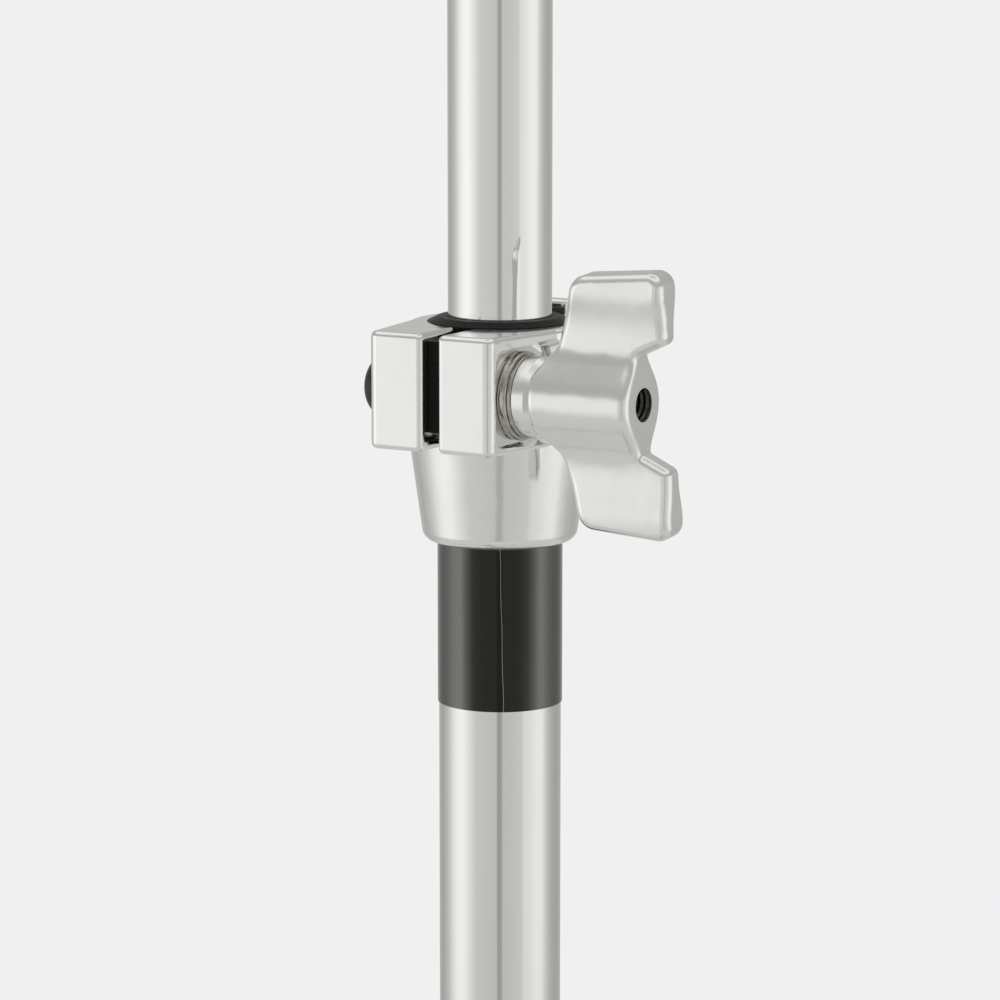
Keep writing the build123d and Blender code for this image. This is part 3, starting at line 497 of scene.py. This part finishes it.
@dataclass
class Studio:
    """The floor, the light and the surroundings that the chrome mirrors.

    Attributes:
        backdrop: The backdrop's level where the camera sees it.
        bearing: The camera's bearing in degrees, 0 from the front.
        panels: Level of the surroundings against the turn from the camera's bearing in degrees.
        fill: The level of light on matt surfaces.
        floor_r: The floor's radius in millimetres.
        paint: The floor's own brightness.
        tones: Level of the surroundings against height, from 0 straight down to 1 straight up.
        levels: How far those tones replace the panels, against the same height.
        warmth: Share of its blue that a dark part of the surroundings lacks.
        sun: The strength of the key light.
        sun_angle: How wide it is, in degrees, which softens the shadows.
        sun_tilt: Its tilt about X and Y, in degrees.
    """

    backdrop: float = 0.871
    bearing: float = 30.0
    panels: tuple[Point, ...] = (
        (-180, 0.5), (-160, 0.46), (-140, 0.4), (-121, 0.52), (-110, 0.66), (-101, 0.82), (-93, 0.93),
        (-85, 0.99), (-77, 1.0), (-70, 0.96), (-64, 0.87), (-57, 0.79), (-51, 0.7), (-45, 0.63), (-20, 0.59),
        (-7, 0.57), (-4.5, 0.36), (2.5, 0.36), (5, 0.56), (25, 0.59), (41, 0.64), (46, 0.77), (60, 0.83),
        (75, 0.91), (87, 0.89), (95, 0.7), (104, 0.57), (114, 0.46), (125, 0.42), (139, 0.4), (160, 0.46),
        (180, 0.5),
    )
    fill: float = 0.78
    floor_r: float = 1350.0
    paint: float = 0.93
    tones: tuple[Point, ...] = (
        (0.0, 0.5), (0.1, 0.56), (0.18, 0.58), (0.25, 0.46), (0.34, 0.46), (0.5, 0.6), (0.6, 0.42),
        (0.66, 0.4), (0.79, 0.42), (0.86, 0.58), (0.9, 0.86), (0.95, 0.82), (1.0, 0.5),
    )
    levels: tuple[Point, ...] = (
        (0.0, 1.0), (0.2, 1.0), (0.26, 0.5), (0.31, 0.25),
        (0.37, 0.0), (0.575, 0.0), (0.63, 0.95), (0.7, 1.0),
    )
    warmth: float = 0.06
    sun: float = 0.42
    sun_angle: float = 28.0
    sun_tilt: Point = (38.0, -22.0)

    def build(self) -> None:
        """Makes the floor, the world and the key light."""
        self.floor()
        self.world()
        self.key_light()
        scene = bpy.context.scene
        scene.view_settings.view_transform = "Standard"

    def floor(self) -> None:
        """Lays a round pale floor that fades into the backdrop at its edge."""
        steps = 128
        turns = [2 * pi * k / steps for k in range(steps)]
        rim = [(self.floor_r * cos(turn), self.floor_r * sin(turn), 0) for turn in turns]
        ground = piece_from("studio_floor", rim, [tuple(range(steps))])
        paint = bpy.data.materials.new("studio_floor")
        paint.use_nodes = True
        paint.node_tree.nodes.clear()
        nodes = Nodes(paint.node_tree)
        out = nodes.add("ShaderNodeOutputMaterial")
        matt = nodes.add("ShaderNodeBsdfDiffuse", Color=(self.paint, self.paint, self.paint, 1))
        clear = nodes.add("ShaderNodeBsdfTransparent")
        fade = nodes.add("ShaderNodeMixShader")
        place = nodes.add("ShaderNodeTexCoord")
        away = nodes.add("ShaderNodeVectorMath", operation="LENGTH")
        edge = nodes.add("ShaderNodeMapRange", interpolation_type="SMOOTHSTEP")
        edge.inputs["From Min"].default_value = 0.45 * self.floor_r * MM
        edge.inputs["From Max"].default_value = 0.98 * self.floor_r * MM
        nodes.join(place.outputs["Object"], away.inputs[0])
        nodes.join(away.outputs["Value"], edge.inputs["Value"])
        nodes.join(edge.outputs["Result"], fade.inputs["Fac"])
        nodes.join(matt.outputs["BSDF"], fade.inputs[1])
        nodes.join(clear.outputs["BSDF"], fade.inputs[2])
        nodes.join(fade.outputs["Shader"], out.inputs["Surface"])
        ground.data.materials.append(paint)
        ground.visible_glossy = False

    def world(self) -> None:
        """Surrounds the stand with soft panels for the chrome, and an even level for everything else."""
        world = bpy.data.worlds.new("studio")
        bpy.context.scene.world = world
        world.use_nodes = True
        world.node_tree.nodes.clear()
        nodes = Nodes(world.node_tree)
        place = nodes.add("ShaderNodeTexCoord")
        turn = nodes.add("ShaderNodeMapping")
        turn.inputs["Rotation"].default_value = (0, 0, radians(90 - self.bearing))
        wheel = nodes.add("ShaderNodeTexGradient", gradient_type="RADIAL")
        ring = nodes.add("ShaderNodeValToRGB")
        self.fill_ramp(ring, [(0.5 + turned / 360, level) for turned, level in self.panels], self.warmth)
        split = nodes.add("ShaderNodeSeparateXYZ")
        height = nodes.add("ShaderNodeValToRGB")
        self.fill_ramp(height, self.levels)
        tone = nodes.add("ShaderNodeValToRGB")
        self.fill_ramp(tone, self.tones, self.warmth)
        lift = nodes.add("ShaderNodeMapRange")
        lift.inputs["From Min"].default_value = -1.0
        around = nodes.add("ShaderNodeMix", data_type="RGBA")
        paths = nodes.add("ShaderNodeLightPath")
        mirrored = nodes.add("ShaderNodeBackground")
        even = nodes.add("ShaderNodeBackground", Color=(1, 1, 1, 1), Strength=self.fill)
        seen = nodes.add("ShaderNodeBackground", Color=(1, 1, 1, 1), Strength=self.backdrop)
        pick_gloss = nodes.add("ShaderNodeMixShader")
        pick_seen = nodes.add("ShaderNodeMixShader")
        out = nodes.add("ShaderNodeOutputWorld")
        either = nodes.add("ShaderNodeMath", operation="MAXIMUM")
        nodes.join(place.outputs["Generated"], turn.inputs["Vector"])
        nodes.join(turn.outputs["Vector"], wheel.inputs["Vector"])
        nodes.join(wheel.outputs["Fac"], ring.inputs["Fac"])
        nodes.join(place.outputs["Generated"], split.inputs["Vector"])
        nodes.join(split.outputs["Z"], lift.inputs["Value"])
        nodes.join(lift.outputs["Result"], height.inputs["Fac"])
        nodes.join(height.outputs["Color"], around.inputs["Factor"])
        nodes.join(ring.outputs["Color"], around.inputs[6])
        nodes.join(lift.outputs["Result"], tone.inputs["Fac"])
        nodes.join(tone.outputs["Color"], around.inputs[7])
        nodes.join(around.outputs[2], mirrored.inputs["Color"])
        nodes.join(paths.outputs["Is Glossy Ray"], pick_gloss.inputs["Fac"])
        nodes.join(even.outputs["Background"], pick_gloss.inputs[1])
        nodes.join(mirrored.outputs["Background"], pick_gloss.inputs[2])
        nodes.join(paths.outputs["Is Camera Ray"], either.inputs[0])
        nodes.join(paths.outputs["Is Transmission Ray"], either.inputs[1])
        nodes.join(either.outputs["Value"], pick_seen.inputs["Fac"])
        nodes.join(pick_gloss.outputs["Shader"], pick_seen.inputs[1])
        nodes.join(seen.outputs["Background"], pick_seen.inputs[2])
        nodes.join(pick_seen.outputs["Shader"], out.inputs["Surface"])

    @staticmethod
    def fill_ramp(node: bpy.types.Node, stops: Sequence[Point], warmth: float = 0.0) -> None:
        """Sets a colour ramp's stops to grey levels.

        Args:
            node: The colour ramp node.
            stops: (position, level) pairs in order.
            warmth: Share of its blue that a dark level lacks; a full level lacks a third of that.
        """
        ramp = node.color_ramp
        while len(ramp.elements) < len(stops):
            ramp.elements.new(0.5)
        for element, (position, level) in zip(ramp.elements, stops):
            element.position = position
            element.color = (level, level, level * (1 - warmth * (4 / 3 - level)), 1)

    def key_light(self) -> None:
        """Hangs one large soft light high in front, on the left."""
        data = bpy.data.lights.new("key", "SUN")
        data.energy = self.sun
        data.angle = radians(self.sun_angle)
        lamp = bpy.data.objects.new("key", data)
        lamp.rotation_euler = (radians(self.sun_tilt[0]), radians(self.sun_tilt[1]), 0)
        lamp.visible_glossy = False
        bpy.context.scene.collection.objects.link(lamp)


@dataclass
class CloseView:
    """The camera, which looks at the height clamp.

    Attributes:
        target: The point it looks at, in millimetres.
        bearing: Degrees round from the front, towards +X.
        pitch: Degrees above the horizon.
        distance: Millimetres from the target.
        lens: Focal length in millimetres.
    """

    target: Place = (0.0, 0.0, 573.1)
    bearing: float = 30.0
    pitch: float = 9.5
    distance: float = 787.0
    lens: float = 136.8

    def build(self) -> None:
        """Makes the camera and gives it to the scene."""
        data = bpy.data.cameras.new("close_view")
        data.lens = self.lens
        data.sensor_width = 36.0
        data.clip_start = 0.01
        data.clip_end = 100.0
        camera = bpy.data.objects.new("close_view", data)
        a, e = radians(self.bearing), radians(self.pitch)
        back = Vector((sin(a) * cos(e), -cos(a) * cos(e), sin(e)))
        camera.location = (Vector(self.target) + back * self.distance) * MM
        camera.rotation_euler = (-back).to_track_quat("-Z", "Y").to_euler()
        bpy.context.scene.collection.objects.link(camera)
        bpy.context.scene.camera = camera


# ------------------------------------------------------------------ sub-assemblies


@dataclass
class StandTubes:
    """The two telescoping tubes and the label band.

    Attributes:
        lower_r: Outer radius of the lower tube.
        lower_wall: Its wall.
        lower_span: Heights of its ends.
        upper_r: Outer radius of the upper tube.
        upper_wall: Its wall.
        upper_span: Heights of its ends.
        band_r: Outer radius of the band.
        band_span: Heights of its edges.
        band_lift: The gap under the band.
        seam_top: Bearing of the band's seam at its upper edge, from +X, in degrees.
        seam_shift: How far the seam has turned at the lower edge, in degrees.
        seam_waver: How far the seam strays from a straight line, in degrees.
        seam_gap: Half the width of the seam.
    """

    lower_r: float = 12.7
    lower_wall: float = 1.3
    lower_span: Point = (150.0, 590.0)
    upper_r: float = 10.7
    upper_wall: float = 1.2
    upper_span: Point = (480.0, 806.0)
    band_r: float = 12.98
    band_span: Point = (531.0, 565.0)
    band_lift: float = 0.02
    seam_top: float = -60.0
    seam_shift: float = 3.2
    seam_waver: float = 0.25
    seam_gap: float = 0.03

    def build(self) -> None:
        """Builds both tubes and the band."""
        lower = self.tube("lower_tube_shell", self.lower_r, self.lower_wall, self.lower_span)
        dress(lower, CHROME_TUBE, Body.STAND, ["lower_tube"])
        upper = self.tube("upper_tube_shell", self.upper_r, self.upper_wall, self.upper_span)
        # The upper tube's brighter chrome is painted light.
        dress(upper, CHROME_UPPER_TUBE_PAINTED_LIGHT, Body.UPPER, ["upper_tube"])
        self.band()

    @staticmethod
    def tube(name: str, radius: float, wall: float, span: Point) -> bpy.types.Object:
        """Turns one drawn tube with softened ends.

        Args:
            name: The piece's name.
            radius: Outer radius.
            wall: Wall thickness.
            span: Lowest and highest height.

        Returns:
            The tube's object.
        """
        low, high = span
        inner = radius - wall
        profile = rounded([(radius, low, 0.4), (radius, high, 0.4), (inner, high, 0.3), (inner, low, 0.3)], 4)
        made = lathe(name, profile, Matrix.Identity(4), 256)
        smooth(made)
        return made

    def band(self) -> None:
        """Wraps the black film round the tube, with a fine slanting seam where its ends meet."""
        low, high = self.band_span
        steps, rows = 240, 12
        gap = degrees(self.seam_gap / self.band_r)
        verts: list[Place] = []
        faces: list[Face] = []
        for layer in (self.band_r, self.lower_r + self.band_lift):
            for row in range(rows + 1):
                z = high + (low - high) * row / rows
                seam = self.seam_top + self.seam_shift * row / rows + self.seam_waver * sin(row * 1.3)
                for step in range(steps + 1):
                    turn = radians(seam + gap + (360 - 2 * gap) * step / steps)
                    verts.append((layer * cos(turn), layer * sin(turn), z))
        wide, layer_size = steps + 1, (steps + 1) * (rows + 1)
        for row in range(rows):
            for step in range(steps):
                a = row * wide + step
                faces.append((a, a + 1, a + wide + 1, a + wide))
                b = a + layer_size
                faces.append((b, b + wide, b + wide + 1, b + 1))
        for step in range(steps):
            for a in (step, rows * wide + step):
                faces.append((a, a + layer_size, a + layer_size + 1, a + 1))
        for row in range(rows):
            for a in (row * wide, row * wide + steps):
                faces.append((a, a + wide, a + wide + layer_size, a + layer_size))
        made = piece_from("label_band_film", verts, faces)
        tidy(made)
        smooth(made)
        dress(made, FILM, Body.STAND, ["label_band"])


@dataclass
class NutThread:
    """The cut thread that shows in the mouth of the wing nut's bore, finished nearly black as painted shade
    for the inside of the bore.

    Attributes:
        axis: The bolt axis's place along Y and Z.
        span: Where the thread starts and ends along X.
        pitch: The distance from one turn of the thread to the next.
        crest_r: The smallest radius of the thread.
        root_r: The largest radius of the thread.
        wall_r: The outer radius of the threaded sleeve, just inside the bore.
        lead_in: The length of the countersink at the mouth.
        around: How many steps a turn of the sleeve has.
        rows_per_turn: How many rings of points there are to one pitch.
        flank: How steeply the sides of the groove rise, over one pitch.
        crest_flat: How much of that rise is lost to the flat crest.
    """

    axis: Point = (-16.9, 598.0)
    span: Point = (31.3, 42.1)
    pitch: float = 1.25
    crest_r: float = 2.92
    root_r: float = 3.34
    wall_r: float = 3.385
    lead_in: float = 0.7
    around: int = 64
    rows_per_turn: int = 10
    flank: float = 2.6
    crest_flat: float = 0.15

    def build(self) -> None:
        """Cuts the thread as a sleeve whose inner radius winds along the axis."""
        start, end = self.span
        rows = round((end - start) / self.pitch * self.rows_per_turn)
        verts: list[Place] = []
        for row in range(rows + 1):
            x = start + (end - start) * row / rows
            for step in range(self.around):
                verts.append(self.point(x, self.radius(x, step / self.around), step))
        for x in (end, start):
            for step in range(self.around):
                verts.append(self.point(x, self.wall_r, step))
        rings = rows + 3
        faces = [
            (
                ring * self.around + step,
                ring * self.around + (step + 1) % self.around,
                (ring + 1) % rings * self.around + (step + 1) % self.around,
                (ring + 1) % rings * self.around + step,
            )
            for ring in range(rings)
            for step in range(self.around)
        ]
        made = piece_from("nut_thread", verts, faces)
        tidy(made, 0.0001)
        smooth(made, 40)
        # Its nearly black finish is painted shade for the inside of the bore.
        dress(made, THREAD_STEEL_PAINTED_SHADE, Body.WING_NUT)

    def radius(self, x: float, turned: float) -> float:
        """Gives the thread's inner radius at a place along the axis.

        Args:
            x: The place along the axis.
            turned: The part of a whole turn round the axis.

        Returns:
            The radius in millimetres.
        """
        along = (x / self.pitch - turned) % 1.0
        groove = min(1.0, max(0.0, self.flank * (0.5 - abs(along - 0.5)) - self.crest_flat))
        mouth = max(0.0, 1.0 - (self.span[1] - x) / self.lead_in)
        return self.crest_r + (self.root_r - self.crest_r) * max(groove, mouth)

    def point(self, x: float, radius: float, step: int) -> Place:
        """Gives a point on the sleeve.

        Args:
            x: The place along the axis.
            radius: The distance from the axis.
            step: Steps round the axis.

        Returns:
            The point in millimetres.
        """
        turn = 2 * pi * step / self.around
        return x, self.axis[0] + radius * cos(turn), self.axis[1] + radius * sin(turn)


@dataclass
class ReturnSpring:
    """The coil spring between its seat and the pull rod's collar, which shortens as the pedal goes down.

    Attributes:
        coil_r: Radius of the coil at the middle of the wire.
        wire_r: Radius of the wire.
        span: Heights of the wire's middle at the two ends.
        turns: Open turns between the closed end turns.
        closed: Closed turns at each end.
        still: The turn, counted from below, that neither the seat nor the collar moves.
        coil_gap: The gap between closed turns.
        steps_per_turn: How many steps a turn of the coil has.
        around: How many steps there are round the wire.
    """

    coil_r: float = 7.0
    wire_r: float = 0.9
    span: Point = (210.05, 274.0)
    turns: float = 6.5
    closed: float = 1.25
    still: float = 2.5
    coil_gap: float = 0.05
    steps_per_turn: int = 36
    around: int = 12

    def build(self) -> None:
        """Winds the wire in two pieces, split at the still turn."""
        total = self.turns + 2 * self.closed
        self.wind("spring_lower_turns", 0.0, self.still, Body.SPRING_SUPPORT, Body.STAND)
        self.wind("spring_upper_turns", self.still, total, Body.STAND, Body.PULL_ROD)

    def wind(self, name: str, first: float, last: float, below: Body, above: Body) -> None:
        """Winds a stretch of the wire.

        Args:
            name: The piece's name.
            first: Turns from the lower end to where the stretch starts.
            last: Turns from the lower end to where it ends.
            below: The group named for its lower end in the log.
            above: The group named for its upper end in the log.
        """
        steps = round((last - first) * self.steps_per_turn)
        verts: list[Vector] = []
        for step in range(steps + 1):
            turned = first + (last - first) * step / steps
            angle = 2 * pi * turned
            outward = Vector((cos(angle), sin(angle), 0))
            middle = outward * self.coil_r + Vector((0, 0, self.height(turned)))
            for k in range(self.around):
                lean = 2 * pi * k / self.around
                upward = Vector((0, 0, self.wire_r * sin(lean)))
                verts.append(middle + outward * self.wire_r * cos(lean) + upward)
        faces: list[Face] = [
            (
                step * self.around + k,
                step * self.around + (k + 1) % self.around,
                (step + 1) * self.around + (k + 1) % self.around,
                (step + 1) * self.around + k,
            )
            for step in range(steps)
            for k in range(self.around)
        ]
        faces.append(tuple(reversed(range(self.around))))
        faces.append(tuple(steps * self.around + k for k in range(self.around)))
        made = piece_from(name, verts, faces)
        tidy(made, 0.0001)
        smooth(made, 60)
        made.data.materials.append(ZINC_STEEL.material())
        ends = ((0, 0, self.height(turned) * MM) for turned in (first, last))
        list(ends)
        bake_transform(made)
        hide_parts("return_spring")
        log.info("piece %s: %d faces, %s to %s", name, len(made.data.polygons), below.value, above.value)

    def height(self, turned: float) -> float:
        """Gives the wire's height after a number of turns from the lower end.

        Args:
            turned: Turns from the lower end.

        Returns:
            The height of the wire's middle in millimetres.
        """
        low, high = self.span
        rise = 2 * self.wire_r + self.coil_gap
        end = self.closed * rise
        if turned < self.closed:
            return low + turned * rise
        if turned > self.turns + self.closed:
            return high - (self.turns + 2 * self.closed - turned) * rise
        return low + end + (high - low - 2 * end) * (turned - self.closed) / self.turns


@dataclass
class Felts:
    """The felt washers of the cymbal seat and the clutch.

    Attributes:
        bores: The bore radius of each washer by its solid's name.
        bodies: The group that each washer rides on.
        corner: The rounding of the outer corners.
        bore_corner: The rounding of the bore's edges.
        inset: How far the surface starts inside the solid.
        nap: How far the felt's surface rises and falls.
        step: The distance between points of the surface.
    """

    bores: dict[str, float] = field(
        default_factory=lambda: {"seat_felt": 8.25, "clutch_felt_upper": 5.85, "clutch_felt_lower": 5.85}
    )
    bodies: dict[str, Body] = field(
        default_factory=lambda: {
            "seat_felt": Body.SEAT,
            "clutch_felt_upper": Body.CLUTCH,
            "clutch_felt_lower": Body.LOWER_FELT,
        }
    )
    corner: float = 2.0
    bore_corner: float = 0.6
    inset: float = 0.02
    nap: float = 0.4
    step: float = 0.8

    def build(self) -> None:
        """Builds every washer."""
        for node in self.bores:
            self.washer(node)

    def washer(self, node: str) -> None:
        """Builds one washer inside the space of its solid.

        Args:
            node: The solid that it stands for.
        """
        low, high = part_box(node)
        outer = (high[0] - low[0]) / 2 / MM - self.inset
        base, top = low[2] / MM + self.inset, high[2] / MM - self.inset
        inner = self.bores[node]
        corners = [
            (outer, base, self.corner),
            (outer, top, self.corner),
            (inner, top, self.bore_corner),
            (inner, base, self.bore_corner),
        ]
        around = round(2 * pi * outer / self.step)
        made = lathe(f"{node}_nap", self.even(rounded(corners)), Matrix.Identity(4), around)
        self.rough_up(made)
        smooth(made, 70)
        dress(made, WHITE_FELT, self.bodies[node], [node])

    def even(self, outline: Sequence[Point]) -> list[Point]:
        """Adds points along the straight stretches of an outline.

        Args:
            outline: The outline's points.

        Returns:
            The outline with no gap wider than the surface's step.
        """
        points: list[Point] = []
        for here, there in zip(outline, [*outline[1:], outline[0]]):
            count = max(1, round(hypot(there[0] - here[0], there[1] - here[1]) / self.step))
            across, along = there[0] - here[0], there[1] - here[1]
            for k in range(count):
                points.append((here[0] + across * (k / count), here[1] + along * (k / count)))
        return points

    def rough_up(self, piece: bpy.types.Object) -> None:
        """Sinks the surface by a fibrous noise, never outside the solid.

        Args:
            piece: The washer.
        """
        piece.data.update()
        for vert in piece.data.vertices:
            spot = vert.co / MM
            fine = noise.noise(spot * 1.1)
            coarse = noise.noise(spot * 0.28)
            layers = 0.25 * sin(spot.z * 2.4 + coarse)
            sink = self.nap * (0.5 + 0.28 * fine + 0.3 * coarse + 0.2 * layers)
            vert.co -= vert.normal * max(0.0, sink) * MM


@dataclass
class FootboardTread:
    """The raised studs that keep a shoe from slipping on the footboard.

    Attributes:
        heel: The hinge's place along Y and Z.
        slope: The footboard's slope in degrees.
        top: Height of the tread face over the hinge plane.
        edge: (along, half width) of the footboard at its corners.
        margin: Bare width left along the edges.
        span: Distances from the hinge at which the studs start and end.
        gap: Distance between rows of studs.
        stud: Half length, half width and height of a stud.
        crown: (share of the stud's outline, share of its height) of each ring of points, from the foot up.
    """

    heel: Point = (-262.0, 16.0)
    slope: float = 16.0
    top: float = 4.0
    edge: tuple[Point, ...] = ((14.0, 38.0), (34.0, 45.0), (150.0, 45.0), (262.0, 38.0))
    margin: float = 6.5
    span: Point = (24.0, 250.0)
    gap: float = 9.4
    stud: Place = (5.2, 1.5, 1.0)
    crown: tuple[Point, ...] = ((1.0, -0.3), (0.97, 0.35), (0.82, 0.75), (0.5, 1.0))

    def build(self) -> None:
        """Sets the studs in rows, each stud turned the other way from its neighbours."""
        verts: list[Place] = []
        faces: list[Face] = []
        rows = int((self.span[1] - self.span[0]) / self.gap)
        for row in range(rows + 1):
            along = self.span[0] + self.gap * row
            reach = self.half_width(along) - self.margin
            columns = int(reach / self.gap)
            for column in range(-columns, columns + 1):
                turned = 45.0 if (row + column) % 2 else -45.0
                self.add_stud(verts, faces, column * self.gap, along, radians(turned))
        made = piece_from("footboard_tread", verts, faces)
        tidy(made)
        smooth(made, 50)
        dress(made, ALUMINIUM, Body.PEDAL)

    def half_width(self, along: float) -> float:
        """Gives half the footboard's width at a distance from its hinge.

        Args:
            along: The distance from the hinge.

        Returns:
            Half the width in millimetres.
        """
        for (near, near_w), (far, far_w) in zip(self.edge, self.edge[1:]):
            if along <= far:
                return near_w + (far_w - near_w) * max(0.0, along - near) / (far - near)
        return self.edge[-1][1]

    def add_stud(self, verts: list[Place], faces: list[Face], x: float, along: float, turn: float) -> None:
        """Adds one long low stud with a crowned top.

        Args:
            verts: The points so far.
            faces: The faces so far.
            x: The stud's place across the footboard.
            along: Its distance from the hinge.
            turn: How far it is turned, in radians.
        """
        length, width, height = self.stud
        around, first = 16, len(verts)
        for grow, rise in self.crown:
            for k in range(around):
                a, b = grow * length * cos(2 * pi * k / around), grow * width * sin(2 * pi * k / around)
                u, v = a * cos(turn) - b * sin(turn), a * sin(turn) + b * cos(turn)
                verts.append(self.on_board(x + u, along + v, rise * height))
        for ring in range(len(self.crown) - 1):
            for k in range(around):
                here, there = first + ring * around, first + (ring + 1) * around
                faces.append((here + k, here + (k + 1) % around, there + (k + 1) % around, there + k))
        last = first + (len(self.crown) - 1) * around
        faces.append(tuple(first + k for k in reversed(range(around))))
        faces.append(tuple(last + k for k in range(around)))

    def on_board(self, x: float, along: float, rise: float) -> Place:
        """Places a point over the footboard's tread face.

        Args:
            x: The place across the footboard.
            along: The distance from the hinge.
            rise: The height over the tread face.

        Returns:
            The point in millimetres.
        """
        slope = radians(self.slope)
        over = self.top + rise
        return (
            x,
            self.heel[0] + along * cos(slope) - over * sin(slope),
            self.heel[1] + along * sin(slope) + over * cos(slope),
        )


@dataclass
class Repaints:
    """Finishes for the model's own solids, whose shapes are already right.

    Attributes:
        finishes: The finish of each solid that differs from its record slot's, by the solid's name.
    """

    finishes: dict[str, Finish] = field(default_factory=dict)

    def build(self) -> None:
        """Repaints every solid that is still shown."""
        slots = {part["node"]: part["material_slot"] for part in frame["record"]["subparts"]}
        by_slot = {
            "chrome_tube": CHROME_TUBE,
            "chrome_casting": CHROME_CASTING,
            "zinc_steel": ZINC_STEEL,
            "black_steel": BLACK_OXIDE,
            "cast_aluminium": ALUMINIUM,
            "black_nylon": NYLON,
            "brass_pad": BRASS,
            "label_film": FILM,
            "black_rubber": RUBBER,
            "felt": WHITE_FELT,
        }
        for node, solid in sorted(frame["nodes"].items()):
            if not solid.hide_render:
                repaint(node, self.finishes.get(node, by_slot[slots[node]]))


def main() -> None:
    """Builds the studio, the camera and every sub-assembly in order."""
    logging.basicConfig(level=logging.INFO, format="%(name)s: %(message)s")
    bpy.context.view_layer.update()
    CloseView().build()
    Studio().build()
    StandTubes().build()
    NutThread().build()
    ReturnSpring().build()
    Felts().build()
    FootboardTread().build()
    # The washers' darkened steel is partly painted shade for the clamp's recess.
    Repaints(
        {"height_wing_nut": CHROME_NUT, "clamp_washer": WASHER_STEEL_PAINTED_SHADE, "spring_washer": WASHER_STEEL_PAINTED_SHADE}
    ).build()


if __name__ == "__main__":
    main()
